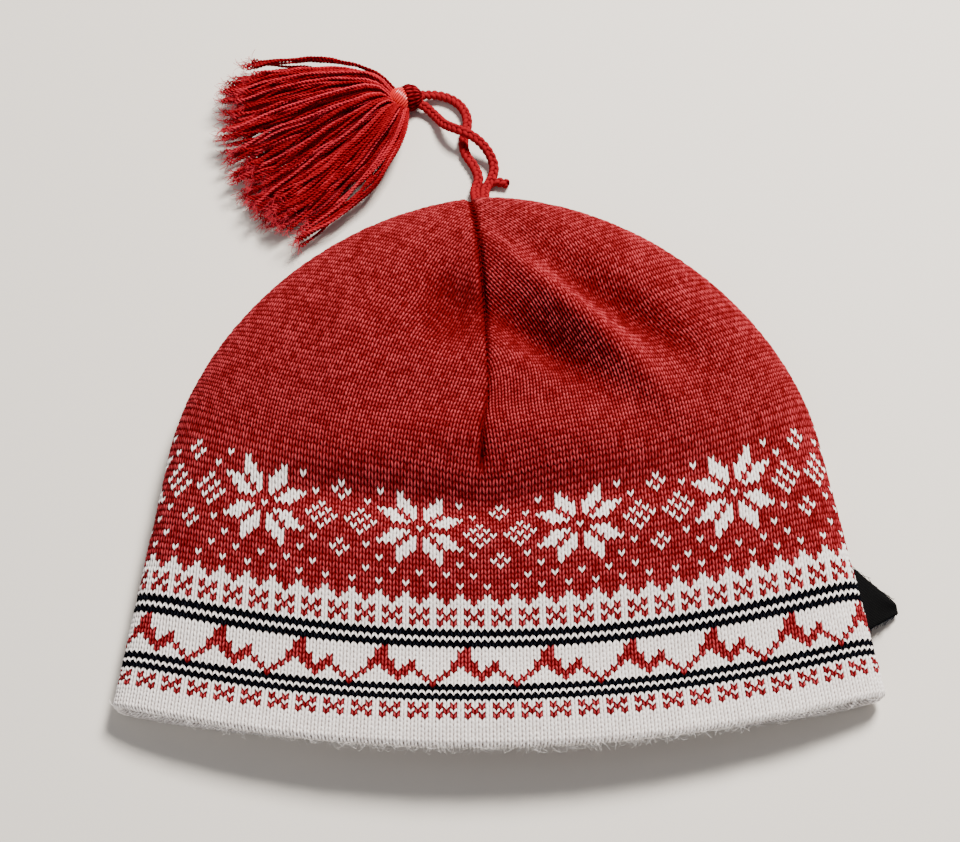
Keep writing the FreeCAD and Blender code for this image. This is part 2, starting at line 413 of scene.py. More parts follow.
def band_fabric(front):
    """The band from inside the hem to a little past the dart's start, with one column to a wale."""
    courses = np.arange(-FACING_COURSES - 1, DART_COURSE + 2, TABLE_STEP)
    wanted = np.linspace(0, 1, (FRONT_WALES if front else BACK_WALES) + 1)
    table = np.array([even_spacing(band_course(course, front), wanted) for course in courses])
    if not front:
        table = table[:, ::-1]
    return Fabric(courses[0], table)


# ---------------- stitches
ARM = np.concatenate([-np.arange(LEG_STEPS, 0, -1), np.arange(0, LEG_STEPS)]) / (2.0 * LEG_STEPS)
NOISE = np.random.default_rng(7)


def stitch_lines(first_wale, wales, first_course, courses):
    """Wale, course, height above the fabric and painted shade of each vertex of a field of stitches; the
    shade is darkest in the gaps between stitches and varies at random from stitch to stitch.
    """
    wale = (first_wale + np.arange(wales)[:, None] + 0.5 + ARM[None, :]).ravel()
    wale = np.append(wale, first_wale + wales)
    arm = np.append(np.tile(ARM, wales), 0.5)
    level = np.arange(courses * ROUND_STEPS + 1) / ROUND_STEPS
    out = np.abs(arm) * 2.0
    leg_gap = 1.0 - np.sin(math.pi * np.clip(out, 0.0, 1.0))[None, :] ** 0.7
    row_gap = 1.0 - np.sin(math.pi * (level % 1.0))[:, None] ** 0.7
    top = np.clip(1.0 - 0.70 * leg_gap - 0.28 * row_gap - 0.50 * leg_gap * row_gap, 0.0, 1.0)
    course = first_course + level[:, None] + ARM_RISE * (out[None, :] - 0.5)
    tall = 0.85 + 0.3 * NOISE.random((courses + 1, wales + 1))
    tall = np.repeat(np.repeat(tall, ROUND_STEPS, axis=0), 2 * LEG_STEPS, axis=1)
    tall = tall[:course.shape[0], :course.shape[1]]
    height = YARN_BULGE * (top * tall - 0.12)
    # Painted shade: darker in the gaps between legs and between rows, darkest where they meet, scaled by each
    # stitch's random tone
    shade = (1.0 - 0.70 * leg_gap - 0.25 * row_gap - 0.6 * leg_gap * row_gap) * (0.25 + 0.75 * tall)
    return np.broadcast_to(wale, course.shape), course, height, np.clip(shade, 0.0, 1.0)


def stitch_colours(first_wale, wales, first_course, courses):
    """Material index of each face; a dark stitch also shows at the foot of a white one after it."""
    field = np.array([[jacquard(first_wale + i, first_course + j) for i in range(wales)]
                      for j in range(-1, courses)])
    here = field[1:]
    before = field[:-1]
    faces = np.repeat(here, ROUND_STEPS, axis=0)
    faces[::ROUND_STEPS] = np.where((here == WHITE) & (before != WHITE), before, here)
    return np.repeat(faces, 2 * LEG_STEPS, axis=1).ravel()


# Red rows of the mountain border, wale by wale, and white rows of the trees
MOUNTAIN = (
    (8,), (7,), (6,), (4, 5), (2, 3, 4), (1, 2, 3, 4, 5),
    (4, 5, 6), (6, 7), (5, 6), (4, 5), (6,), (7,))
TREE_SIDE = (2, 3, 5, 7)
TREE_MIDDLE = (3, 4, 6, 7)


def rose_or_diamond(wale, row):
    """True where the rose band is white; row 0 runs through the middles of the eight-petal roses."""
    from_rose = abs(wale % 24 - 12)
    from_middle = abs((wale + 12) % 24 - 12)
    up = abs(row)
    petals = {1: (2, 3, 4), 2: (3, 4, 5), 3: (4, 5, 6)}
    if from_rose == 0 and up == 0:
        return True
    if from_rose in petals.get(up, ()) or up in petals.get(from_rose, ()):
        return True
    checker = abs(from_middle - 3) + up
    if checker <= 2 and checker % 2 == 0:
        return True
    if (from_middle, abs(up - 5)) in ((0, 1), (1, 0)):
        return True
    return (from_middle, up) in ((4, 4), (6, 6))


def jacquard(wale, course):
    """Colour of a stitch: hem, crosses, mountains between stripes, trees, flecks and roses."""
    row = ROSE_COURSE - course
    if row >= 37 or row == 33:
        return WHITE
    if row >= 34:
        crossed = wale % 4 == 0 if row == 35 else wale % 2 == 1
        return RED if crossed else WHITE
    if row in (30, 32, 19, 21):
        return BLACK
    if row in (31, 20):
        return WHITE
    if row >= 22:
        return RED if row - 21 in MOUNTAIN[(wale - 2) % 12] else WHITE
    if row >= 12:
        place = (wale - 2) % 4
        rows = {0: range(1, 8), 1: TREE_SIDE, 2: TREE_MIDDLE, 3: TREE_SIDE}[place]
        return WHITE if row - 11 in rows else RED
    if row == 10 and wale % 4 == 2:
        return WHITE
    if row == 8 and wale % 4 == 0 and wale % 24 != 0:
        return WHITE
    return WHITE if rose_or_diamond(wale, row) else RED


def knit_field(name, fabric, first_wale, first_course, courses):
    """One piece of the band's stitches, half the way round the hat."""
    wales = fabric.table.shape[1] - 1
    wale, course, height, shade = stitch_lines(first_wale, wales, first_course, courses)
    points = fabric.place(wale - first_wale, course, height).reshape(-1, 3)
    quads = grid_quads(*course.shape)
    colours = stitch_colours(first_wale, wales, first_course, courses)
    yarns = [RED_YARN, WHITE_YARN, BLACK_YARN]
    make_piece(name, points, quads, yarns, "hat", ["knit_shell"], colours, shade)


def knit_band():
    """The patterned band and the turned hem, in front and back pieces."""
    sides = (("front", True, LEFT_FOLD), ("back", False, RIGHT_FOLD))
    zones = (
        ("hem_facing", -FACING_COURSES, 0),
        ("hem_border", 0, BORDER_COURSES),
        ("rose_band", BORDER_COURSES, DART_COURSE),
    )
    for side, front, first_wale in sides:
        fabric = band_fabric(front)
        for zone, low, high in zones:
            knit_field(f"{zone}_{side}", fabric, first_wale, low, high - low)


# ---------------- crown gores
GORE_COLUMNS = 64
SEAM_YS = (-8, 5, 40, 70, 90, 98)
SEAM_XS = (-3.2, -1.6, -2.0, -3.8, -5.8, -6.8)
GORE_START = (51.0, -8.0)
GORE_BEND = (44.0, 38.0)
GORE_SAG = 5.0
BLEND_END = 0.45
SEAM_GROOVE = 1.5
# How much painted shade darkens the dents of the soft folds
DENT_SHADE = 0.16


def seam_x(y):
    """Where the front and back seams run, which curve a little towards the left near the tip."""
    return np.interp(y, SEAM_YS, SEAM_XS)


def ray_to_edge(start, direction):
    """Distance along a plan ray to the hat's outline."""
    reach = np.linspace(0, 140, 561)
    x = start[0] + direction[0] * reach
    y = start[1] + direction[1] * reach
    outside = (np.abs(x) >= half_width(y, 0.0)) | (y >= TIP_Y - 0.05)
    return reach[np.argmax(outside)] if outside.any() else reach[-1]


def ray_to_seam(start, direction):
    """Distance along a plan ray, against its direction, to the seam."""
    reach = 0.0
    for _ in range(4):
        y = start[1] - direction[1] * reach
        reach = abs(start[0] - seam_x(y)) / max(abs(direction[0]), 0.2)
    return reach


def crown_line(up, sign, share):
    """Plan line of a crown course, square to the gore's middle line, from the seam to the side fold."""
    start = np.array(GORE_START) * (sign, 1)
    bend = np.array(GORE_BEND) * (sign, 1)
    tip = np.array([seam_x(TIP_Y), TIP_Y - 1.0])
    t = min(max(up + 0.06 * math.sin(math.pi * min(max(up, 0.0), 1.0)), 0.0), 1.0)
    middle = (1 - t) ** 2 * start + 2 * t * (1 - t) * bend + t * t * tip
    tangent = unit(2 * (1 - t) * (bend - start) + 2 * t * (tip - bend))
    outward = np.array([tangent[1], -tangent[0]]) * sign
    to_seam = ray_to_seam(middle, outward)
    to_fold = ray_to_edge(middle, outward)
    line = (-to_seam + (to_seam + to_fold) * share)[:, None] * outward[None, :] + middle[None, :]
    sag = GORE_SAG * (1 - smooth_step(up / 0.7)) * (2 * share - 1) ** 2
    line = line + sag[:, None] * tangent[None, :]
    line[:, 1] = np.minimum(line[:, 1], TIP_Y - 0.02)
    return line


def gore_course(course, sign, front, wales):
    """Points of one course of a gore at even wales, from the seam to the side fold."""
    up = (course - DART_COURSE) / CROWN_COURSES
    if up < BLEND_END:
        fine = band_course(course, front)
        wanted = wales / FRONT_WALES + 0.5 if front else (RIGHT_FOLD + BACK_WALES - wales) / BACK_WALES
        lower = even_spacing(fine, wanted)
    if up > 0:
        share = np.sin(np.linspace(0, math.pi / 2, 120))
        line = crown_line(up, sign, share)
        wide = half_width(line[:, 1], 0.0)
        line = layer_point(np.clip(line[:, 0] / np.maximum(wide, 1e-3), -1, 1), line[:, 1], 0.0, front)
        upper = even_spacing(line, np.linspace(0, 1, GORE_COLUMNS + 1))
    if up <= 0:
        return lower
    if up >= BLEND_END:
        return upper
    blend = smooth_step(up / BLEND_END)
    shares = [np.clip(line[:, 0] / half_width(line[:, 1], 0.0), -1, 1) for line in (lower, upper)]
    y = lower[:, 1] * (1 - blend) + upper[:, 1] * blend
    return layer_point(shares[0] * (1 - blend) + shares[1] * blend, y, 0.0, front)


class Gore:
    """One crown gore: its fabric, and how many wales each course keeps each side of its middle."""

    def __init__(self, sign, front):
        """The gore right (1) or left (-1) of the centre seam, on the front or the back."""
        seam = FRONT_SEAM_WALE if front else BACK_SEAM_WALE
        left_fold = LEFT_FOLD if front else RIGHT_FOLD + BACK_WALES
        fold = RIGHT_FOLD if sign > 0 else left_fold
        self.first_wale = min(seam, fold)
        self.wales = abs(fold - seam)
        self.middle = (fold + seam) / 2
        self.outward = 1 if fold > seam else -1
        wales = np.linspace(seam, fold, GORE_COLUMNS + 1)
        self.courses = np.arange(DART_COURSE - 1, DART_COURSE + CROWN_COURSES + 1, TABLE_STEP)
        table = np.array([gore_course(course, sign, front, wales) for course in self.courses])
        lengths = np.linalg.norm(np.diff(table, axis=1), axis=2).sum(axis=1)
        self.kept = self.wales / 2 * lengths / np.interp(DART_COURSE, self.courses, lengths)
        if self.outward < 0:
            table = table[:, ::-1]
        self.fabric = Fabric(self.courses[0], table)


def seam_groove(distance):
    """How far the fabric dips at a distance from a sewn seam."""
    return SEAM_GROOVE * np.exp(-(distance / 1.5) ** 2)


def crown_gore(name, sign, front):
    """One gore of plain red stitches whose wales end along the seams."""
    gore = Gore(sign, front)
    wale, course, height, shade = stitch_lines(gore.first_wale, gore.wales, DART_COURSE, CROWN_COURSES)
    kept = np.interp(course, gore.courses, gore.kept)
    from_middle = wale - gore.middle
    clamped = np.clip(from_middle, -kept, kept)
    column = (0.5 + clamped / (2 * np.maximum(kept, 1e-6))) * GORE_COLUMNS
    up = smooth_step((course - DART_COURSE) / 4.0)
    from_seam = (kept + clamped * gore.outward) * 2.0
    from_fold = (kept - clamped * gore.outward) * 2.0
    height = height - up * seam_groove(from_seam) - 0.2 * up * seam_groove(from_fold)
    # Painted shade in the groove along the seam
    shade = shade * (1 - 0.5 * up * np.exp(-(from_seam / 1.2) ** 2))
    points = gore.fabric.place(column, course, height).reshape(-1, 3)
    # Painted shade darkens the front gores where the soft folds sink
    if front:
        sunk = np.maximum(-relief(points[:, 0], points[:, 1]), 0.0).reshape(shade.shape)
        shade = shade * (1 - DENT_SHADE * smooth_step(sunk / 6.0))
    quads = grid_quads(*course.shape)
    outside = (np.abs(from_middle) >= kept - 1e-9).ravel()
    keep = ~outside[quads].all(axis=1)
    make_piece(name, points, quads[keep], [RED_YARN], "hat", ["knit_shell"], None, shade)


def knit_crown():
    """The four gores of the crown."""
    for side, front in (("front", True), ("back", False)):
        for hand, sign in (("left", -1), ("right", 1)):
            crown_gore(f"crown_gore_{side}_{hand}", sign, front)


# ---------------- many tubes at once
OFF_AXIS = (0.31, 0.17, 0.93)


def side_directions(paths):
    """Two directions square to each path, carried along it without twist."""
    tangent = unit(np.gradient(paths, axis=1))
    side = np.zeros_like(paths)
    side[:, 0] = unit(np.cross(tangent[:, 0], OFF_AXIS))
    for k in range(1, paths.shape[1]):
        along = (side[:, k - 1] * tangent[:, k]).sum(axis=-1, keepdims=True)
        side[:, k] = unit(side[:, k - 1] - along * tangent[:, k])
    return side, np.cross(tangent, side)


def tubes(paths, radius, sides):
    """Points and faces of tubes along many paths; radius is one number, or one per path point."""
    count, steps = paths.shape[:2]
    side, other = side_directions(paths)
    turn = 2 * math.pi * np.arange(sides) / sides
    ring = side[:, :, None] * np.cos(turn)[:, None] + other[:, :, None] * np.sin(turn)[:, None]
    radius = np.broadcast_to(radius, (count, steps))
    points = paths[:, :, None] + ring * radius[:, :, None, None]
    start = (np.arange(count)[:, None, None] * steps + np.arange(steps - 1)[None, :, None]) * sides
    here = start + np.arange(sides)
    after = start + (np.arange(sides) + 1) % sides
    quads = np.stack([here, after, after + sides, here + sides], axis=-1).reshape(-1, 4)
    return points.reshape(-1, 3), quads


def joined(parts):
    """Points and faces of several meshes as one."""
    points = np.concatenate([part[0] for part in parts])
    shift = np.cumsum([0] + [len(part[0]) for part in parts[:-1]])
    quads = np.concatenate([part[1] + move for part, move in zip(parts, shift)])
    return points, quads


def along_line(points, distance):
    """Point and direction at distances along a polyline."""
    run = distances(points)
    direction = point_at(points, run, distance + 0.1) - point_at(points, run, distance - 0.1)
    return point_at(points, run, distance), unit(direction)


def thread_stitches(line, outward, pitch, reach, slant, radius, height):
    """Separate arched stitches of thread along a line on the fabric."""
    length = distances(line)[-1]
    where = np.arange(pitch / 2, length, pitch)
    place, direction = along_line(line, where)
    outer_place, _ = along_line(outward, where * distances(outward)[-1] / length)
    out = unit(outer_place - place)
    across = np.cross(out, direction)
    run = direction * math.cos(slant) + across * math.sin(slant)
    t = np.linspace(-1, 1, 7)
    arch = height * (1 - t ** 4) - 0.25
    forward = run[:, None] * (t * reach / 2)[None, :, None]
    paths = place[:, None] + forward + out[:, None] * arch[None, :, None]
    return tubes(paths, radius, 5)


# ---------------- seams and stitching
OPEN_SEAM_Y = 73.0
HEM_THREAD_HEIGHT = 14.5
RING_STEPS = 300


def surface_line(xs, ys, front):
    """Line on the fabric through plan points, and the same line lifted off it."""
    share = np.clip(xs / np.maximum(half_width(ys, 0.0), 1e-3), -1, 1)
    line = layer_point(share, ys, 0.0, front)
    lift = np.zeros_like(line)
    lift[:, 1] = -np.gradient(line[:, 2], ys)
    lift[:, 2] = 1.0
    if not front:
        lift = -lift
    return line, line + unit(lift)


def centre_seam(name, front, node):
    """Dart seam on the centre line: sunk thread all along, and open stitches near the tip."""
    ys = np.linspace(-8.0, 95.5, 220)
    line, outward = surface_line(seam_x(ys), ys, front)
    low = ys < OPEN_SEAM_Y + 1.0
    top = ys > OPEN_SEAM_Y - 1.0
    points, quads = joined([
        thread_stitches(line[low], outward[low], 2.2, 1.9, slant=0.0, radius=0.24, height=-0.85),
        thread_stitches(line[top], outward[top], 2.4, 2.4, slant=1.0, radius=0.20, height=-0.1),
    ])
    make_piece(name, points, quads, [SEAM_THREAD], "hat", [node])


def side_line(sign, low, high):
    """Line along a side fold, and the same line just outside it."""
    ys = np.linspace(low, high, 200)
    xs = sign * half_width(ys, 0.0)
    line = np.stack([xs, ys, np.full_like(ys, EDGE_Z)], axis=-1)
    slope = np.gradient(xs, ys)
    out = np.stack([np.full_like(ys, sign), -slope * sign, np.zeros_like(ys)], axis=-1)
    return line, line + unit(out)


def side_seam(name, sign, low, high, node, reach, height, thread):
    """Slanting stitches along a stretch of a side fold, from the low to the high plan y."""
    line, outward = side_line(sign, low, high)
    points, quads = thread_stitches(line, outward, 2.2, reach, slant=0.9, radius=0.22, height=height)
    make_piece(name, points, quads, [thread], "hat", [node])


def ring_points(from_hem, inset, front, count):
    """Line across one layer at a height above the hem and a depth inside the fabric."""
    share = fold_to_fold(count)
    return layer_point(share, course_y(share, from_hem, front), inset, front)


def ring_line(from_hem, inset, front):
    """Line across one layer, and the same line a little outside it."""
    line = ring_points(from_hem, inset, front, RING_STEPS)
    return line, 2 * line - ring_points(from_hem, inset + 1.0, front, RING_STEPS)


def stitched_ring(name, from_hem, inset, node, thread):
    """Row of fine stitches right round the hat."""
    parts = []
    for front in (True, False):
        line, outward = ring_line(from_hem, inset, front)
        parts.append(thread_stitches(line, outward, 2.4, 1.7, slant=0.0, radius=0.2, height=0.05))
    points, quads = joined(parts)
    make_piece(name, points, quads, [thread], "hat", [node])


# Name, side, low y, high y, CAD node, stitch reach, stitch height and thread
SIDE_SEAMS = (
    ("left_dart_thread", -1, -6.0, 92.0, "left_dart_seam", 1.8, 0.1, RED_THREAD),
    ("right_dart_thread", 1, -6.0, 92.0, "right_dart_seam", 1.8, 0.1, RED_THREAD),
    ("side_thread_lower", 1, HEM_CORNER_Y + 1.0, LABEL_LOW_Y, "side_seam_lower", 1.6, 0.1, RED_THREAD),
    ("side_thread_upper", 1, LABEL_HIGH_Y, -8.0, "side_seam_upper", 1.6, 0.1, RED_THREAD),
    ("label_thread", 1, LABEL_LOW_Y, LABEL_HIGH_Y, "label_stitching", 2.0, 0.7, BLACK_YARN),
)


def seams():
    """All the sewing thread of the hat."""
    centre_seam("front_dart_thread", True, "front_dart_seam")
    centre_seam("back_dart_thread", False, "back_dart_seam")
    for seam in SIDE_SEAMS:
        side_seam(*seam)
    hem_depth = 2 * FOLD_RADIUS + 1.0
    stitched_ring("hem_thread", HEM_THREAD_HEIGHT, hem_depth, "hem_stitching", WHITE_YARN)
    band_depth = KNIT_WALL + FLEECE_WALL + 0.5
    band_top = FLEECE_END - 2.0
    stitched_ring("headband_thread", band_top, band_depth, "headband_stitching", RED_THREAD)


# ---------------- loose fibres
HEM_FIBRES = 900


def hem_fibres():
    """Fine loose fibres that stand off the front of the hem."""
    rng = np.random.default_rng(31)
    fabric = band_fabric(True)
    wale = rng.uniform(LEFT_FOLD + 1, RIGHT_FOLD - 1, (HEM_FIBRES, 1)) - LEFT_FOLD
    course = rng.uniform(-1.0, 1.5, (HEM_FIBRES, 1))
    t = np.linspace(0, 1, 6)[None, :]
    wander = rng.normal(0, 0.9, (HEM_FIBRES, 2))
    reach = rng.uniform(0.6, 2.2, (HEM_FIBRES, 1))
    height = 0.7 + reach * t ** 0.8
    paths = fabric.place(wale + wander[:, :1] * t, course + wander[:, 1:] * t ** 2, height)
    points, quads = tubes(paths, 0.03, 3)
    make_piece("hem_fibres", points, quads, [WHITE_YARN], "hat")


# ---------------- fleece ear band
FLEECE_ROWS = 34
FLEECE_COLUMNS = 220
FLEECE_PILE = 0.5


def fleece_headband():
    """Soft pile band inside the hat, which lies stretched against the fabric."""
    even = np.linspace(0, 1, FLEECE_COLUMNS + 1)
    inset = KNIT_WALL + FLEECE_WALL
    rows = []
    for from_hem in np.linspace(FLEECE_START, FLEECE_END, FLEECE_ROWS):
        front = even_spacing(ring_points(from_hem, inset, True, LINE_STEPS), even)
        back = even_spacing(ring_points(from_hem, inset, False, LINE_STEPS)[::-1], even)
        rows.append(np.concatenate([front, back[1:]]))
    grid = np.array(rows)
    pile = NOISE.random(grid.shape[:2]) * FLEECE_PILE
    pile[:, -1] = pile[:, 0]
    inward = np.where(np.arange(grid.shape[1]) <= FLEECE_COLUMNS, -1, 1)
    grid[..., 2] += inward[None, :] * pile
    quads = grid_quads(*grid.shape[:2])
    piece = make_piece("ear_band", grid.reshape(-1, 3), quads, [FLEECE], "hat", ["fleece_headband"])
    wall = piece.modifiers.new("thickness", "SOLIDIFY")
    wall.thickness = FLEECE_WALL * 0.6 * MM
    wall.offset = 1.0


# ---------------- cord
# Routes are in metres, from the knot inside the crown tip to the tassel's knot
LEG_A_ROUTE = (
    (-0.0042, 0.1020, 0.0056), (-0.0048, 0.1066, 0.0046), (-0.0050, 0.1112, 0.0022),
    (-0.0032, 0.1158, 0.0019), (-0.0048, 0.1214, 0.0019), (-0.0083, 0.1270, 0.0019),
    (-0.0089, 0.1334, 0.0019), (-0.0070, 0.1396, 0.0019), (-0.0076, 0.1454, 0.0019),
    (-0.0110, 0.1504, 0.0020), (-0.0166, 0.1532, 0.0022), (-0.0225, 0.1524, 0.0036),
    (-0.0250, 0.1512, 0.0045))
LEG_B_ROUTE = (
    (-0.0022, 0.1020, 0.0056), (-0.0016, 0.1066, 0.0046), (-0.0016, 0.1112, 0.0022),
    (0.0010, 0.1158, 0.0020), (0.0023, 0.1212, 0.0019), (0.0000, 0.1264, 0.0046),
    (-0.0046, 0.1304, 0.0074), (-0.0108, 0.1338, 0.0074), (-0.0154, 0.1382, 0.0044),
    (-0.0180, 0.1434, 0.0020), (-0.0218, 0.1474, 0.0028), (-0.0245, 0.1484, 0.0042))
STUB_ROUTE = (
    (0.0005, 0.1149, 0.0020), (0.0035, 0.1146, 0.0020), (0.0052, 0.1141, 0.0020),
    (0.0070, 0.1136, 0.0020))
PLAIT_PITCH = 6.6
PLAIT_WIDTH = 0.85
PLAIT_HEIGHT = 0.5
PLAIT_STRAND = 0.95
PLAIT_STEP = 0.4
PLAIT_TAPER = (0.2, 0.7, 0.95)
BALL_COURSES = 5


def spline_points(name, route):
    """Points of the smooth NURBS line through a route, in metres."""
    data = bpy.data.curves.new(name, "CURVE")
    data.dimensions = "3D"
    data.resolution_u = 16
    spline = data.splines.new("NURBS")
    spline.points.add(len(route) - 1)
    for point, place in zip(spline.points, route):
        point.co = (*place, 1.0)
    spline.order_u = 3
    spline.use_endpoint_u = True
    holder = bpy.data.objects.new(name, data)
    mesh = bpy.data.meshes.new_from_object(holder)
    points = [tuple(vertex.co) for vertex in mesh.vertices]
    bpy.data.objects.remove(holder)
    bpy.data.meshes.remove(mesh)
    return points


def plaited_cord(points):
    """Points, faces and shade of a plait of three strands along a line of points in metres."""
    line = np.array(points) / MM
    length = distances(line)[-1]
    run = np.linspace(0, length, int(length / PLAIT_STEP))
    centre, _ = along_line(line, run)
    side, other = side_directions(centre[None])
    strands = []
    for strand in range(3):
        turn = 2 * math.pi * (run / PLAIT_PITCH + strand / 3)
        across = PLAIT_WIDTH * np.sin(turn)
        above = PLAIT_HEIGHT * np.sin(2 * turn)
        strands.append(centre + side[0] * across[:, None] + other[0] * above[:, None])
    radius = np.full(len(run), PLAIT_STRAND)
    radius[:3] *= PLAIT_TAPER
    radius[-3:] *= PLAIT_TAPER[::-1]
    place, quads = tubes(np.array(strands), radius, 9)
    rings = place.reshape(3, len(run), 9, 3)
    # Painted shade: darker in the creases between the strands, near the cord's middle line
    from_middle = np.linalg.norm(rings - centre[None, :, None], axis=-1)
    shade = smooth_step((from_middle - 0.45) / 1.0)
    return place, quads, shade


def cord_leg(name, route, node, far_pieces):
    """One leg of the doubled cord, from the root at the crown tip to the tassel's knot."""
    points = spline_points(name + "_line", route)
    place, quads, shade = plaited_cord(points)
    leg = make_piece(name, place, quads, [CORD_YARN], "cord", [node], None, shade)


def square_to(axis):
    """An axis at length one and two directions square to it."""
    axis = unit(np.array(axis))
    side = unit(np.cross(axis, (0.0, 0.0, 1.0)))
    return axis, side, np.cross(axis, side)


def knitted_ball(name, centre, axis, radii, wales, body, node):
    """Ball of cord stitches whose courses run from one end of its axis to the other."""
    wale, course, height, shade = stitch_lines(0, wales, 0, BALL_COURSES)
    polar = math.pi * np.clip(course / BALL_COURSES, 0.0, 1.0)
    turn = 2 * math.pi * wale / wales
    axis, side, other = square_to(axis)
    spread = np.sin(polar)[..., None] * (np.cos(turn)[..., None] * side + np.sin(turn)[..., None] * other)
    outward = -np.cos(polar)[..., None] * axis + spread
    place = np.array(centre) + outward * np.array(radii) + outward * (height * 0.8 - 0.3)[..., None]
    quads = grid_quads(*course.shape)
    return make_piece(name, place.reshape(-1, 3), quads, [CORD_YARN], body, [node], None, shade)


def cord_root():
    """Gathered knitted end at the crown tip, with its knot inside the hat."""
    pivot = ((ROOT_LOW[0] + ROOT_HIGH[0]) / 2, ROOT_HIGH[1] - 3.2, 5.0)
    knitted_ball("cord_root_ball", pivot, (0, 1, 0.1), (3.0, 4.0, 2.9), 9, "hat", "cord_root")
    anchor = (pivot[0], ROOT_LOW[1] + 3.3, EDGE_Z)
    knitted_ball("cord_anchor_knot", anchor, (1, 0.3, 0), (3.0, 3.0, 3.0), 8, "hat", "cord_root")


def cord_stub():
    """Short cut end of the cord beside the first eyelet."""
    points = spline_points("stub_line", STUB_ROUTE)
    place, quads, shade = plaited_cord(points)
    return make_piece("cord_end", place, quads, [CORD_YARN], "cord", ["cord_stub"], None, shade)


# ---------------- tassel
KNOT = (KNOT_LOW + KNOT_HIGH) / 2
YARNS = 250
YARN_STEPS = 46
STRAND_STEPS = 112
YARN_START = 5.5
PLY_OFFSET = 0.31
PLY_RADIUS = 0.36
TURNS_PER_MM = 0.38
FIBRES_PER_END = 7
MASS_MIDDLE = math.radians(207.0)
START_SPREAD = math.radians(74.0)
END_MIDDLE = math.radians(205.0)
END_SPREAD = math.radians(42.0)
LAST_END = math.radians(240.0)
FLOOR_GAP = 0.7


def tassel_paths():
    """Middle lines of the tassel's yarns, fanned wide at the knot and bending into the skirt."""
    rng = np.random.default_rng(11)
    turn = rng.uniform(0, 2 * math.pi, YARNS)
    out = np.sqrt(rng.uniform(0, 1, YARNS))
    across = out * np.cos(turn)
    across = np.sign(across) * np.abs(across) ** 0.85
    layer = 0.5 + 0.5 * out * np.sin(turn)
    length = rng.uniform(53.0, 63.0, YARNS) + 5.0 * across
    t = np.linspace(0, 1, YARN_STEPS)[None, :]
    reach = YARN_START + t * length[:, None]
    start = MASS_MIDDLE + START_SPREAD * across[:, None]
    end = END_MIDDLE + END_SPREAD * across[:, None] + rng.normal(0, 0.04, (YARNS, 1))
    end = np.minimum(end, LAST_END + rng.normal(0, 0.012, (YARNS, 1)))
    angle = end + (start - end) * (1 - t) ** 1.15
    phase = rng.uniform(0, 6.28, (YARNS, 2))
    pace = rng.uniform(4, 10, (YARNS, 2))
    slow = 1.1 * np.sin(phase[:, :1] + pace[:, :1] * t)
    quick = 0.5 * np.sin(phase[:, 1:] + 2.7 * pace[:, 1:] * t)
    wave = (slow + quick) * t
    x = KNOT[0] + reach * np.cos(angle) - wave * np.sin(angle)
    y = KNOT[1] + reach * np.sin(angle) + wave * np.cos(angle)
    swell = 5.0 + 11.5 * np.clip(reach / 14.0, 0, 1) ** 0.6 * (1 - 0.6 * smooth_step((reach - 20.0) / 50.0))
    lift = 0.8 * np.sin(phase[:, 1:] + pace[:, :1] * t) * t
    settle = smooth_step((reach - 2.0) / 8.0)
    z = (1 - settle) * KNOT[2] + settle * (FLOOR_GAP + swell * layer[:, None] + np.abs(lift))
    return np.stack([x, y, np.maximum(z, FLOOR_GAP)], axis=-1)


def two_ply(paths):
    """Two strands twisted round each path, parting at the far end."""
    side, other = side_directions(paths)
    run = np.array([distances(path) for path in paths])
    t = run / run[:, -1:]
    apart = PLY_OFFSET * 0.85 * (1 + 2.2 * smooth_step((t - 0.93) / 0.07))
    strands = []
    for half in (0.0, math.pi):
        turn = (2 * math.pi * TURNS_PER_MM * run + half)[..., None]
        strands.append(paths + (side * np.cos(turn) + other * np.sin(turn)) * apart[..., None])
    return np.concatenate(strands)


def refine(paths, steps):
    """The same paths with more points, by straight runs between them."""
    old = np.linspace(0, 1, paths.shape[1])
    new = np.linspace(0, 1, steps)
    low = np.clip(np.searchsorted(old, new, side="right") - 1, 0, len(old) - 2)
    part = ((new - old[low]) / (old[low + 1] - old[low]))[None, :, None]
    return paths[:, low] * (1 - part) + paths[:, low + 1] * part


def tassel_skirt():
    """Loose two-ply yarns with frayed ends."""
    paths = refine(tassel_paths(), STRAND_STEPS)
    for name, chosen in (("tassel_yarns_a", paths[::2]), ("tassel_yarns_b", paths[1::2])):
        strands = two_ply(chosen)
        strands[..., 2] = np.maximum(strands[..., 2], FLOOR_GAP / 2)
        radius = np.full(strands.shape[:2], PLY_RADIUS)
        radius[:, -3:] *= (0.85, 0.6, 0.3)
        points, quads = tubes(strands, radius, 3)
        tone = np.tile(NOISE.uniform(0.35, 1.0, len(chosen)), 2)
        shade = np.repeat(tone, strands.shape[1] * 3)
        make_piece(name, points, quads, [TASSEL_YARN], "tassel", ["tassel_skirt"], None, shade)


def tassel_fray():
    """Fine loose fibres at the yarn ends."""
    rng = np.random.default_rng(23)
    ends = tassel_paths()[:, -1]
    roots = np.repeat(ends, FIBRES_PER_END, axis=0)
    count = len(roots)
    away = np.arctan2(roots[:, 1] - KNOT[1], roots[:, 0] - KNOT[0]) + rng.normal(0, 0.5, count)
    length = rng.uniform(2.0, 5.5, count)
    t = np.linspace(0, 1, 6)[None, :]
    bend = rng.normal(0, 0.5, (count, 1)) * t
    x = roots[:, 0, None] + length[:, None] * (t - 0.3) * np.cos(away[:, None] + bend)
    y = roots[:, 1, None] + length[:, None] * (t - 0.3) * np.sin(away[:, None] + bend)
    z = np.maximum(roots[:, 2, None] + rng.normal(0, 1.2, (count, 1)) * t, 0.2)
    points, quads = tubes(np.stack([x, y, z], axis=-1), 0.07, 3)
    make_piece("tassel_fray", points, quads, [TASSEL_YARN], "tassel")


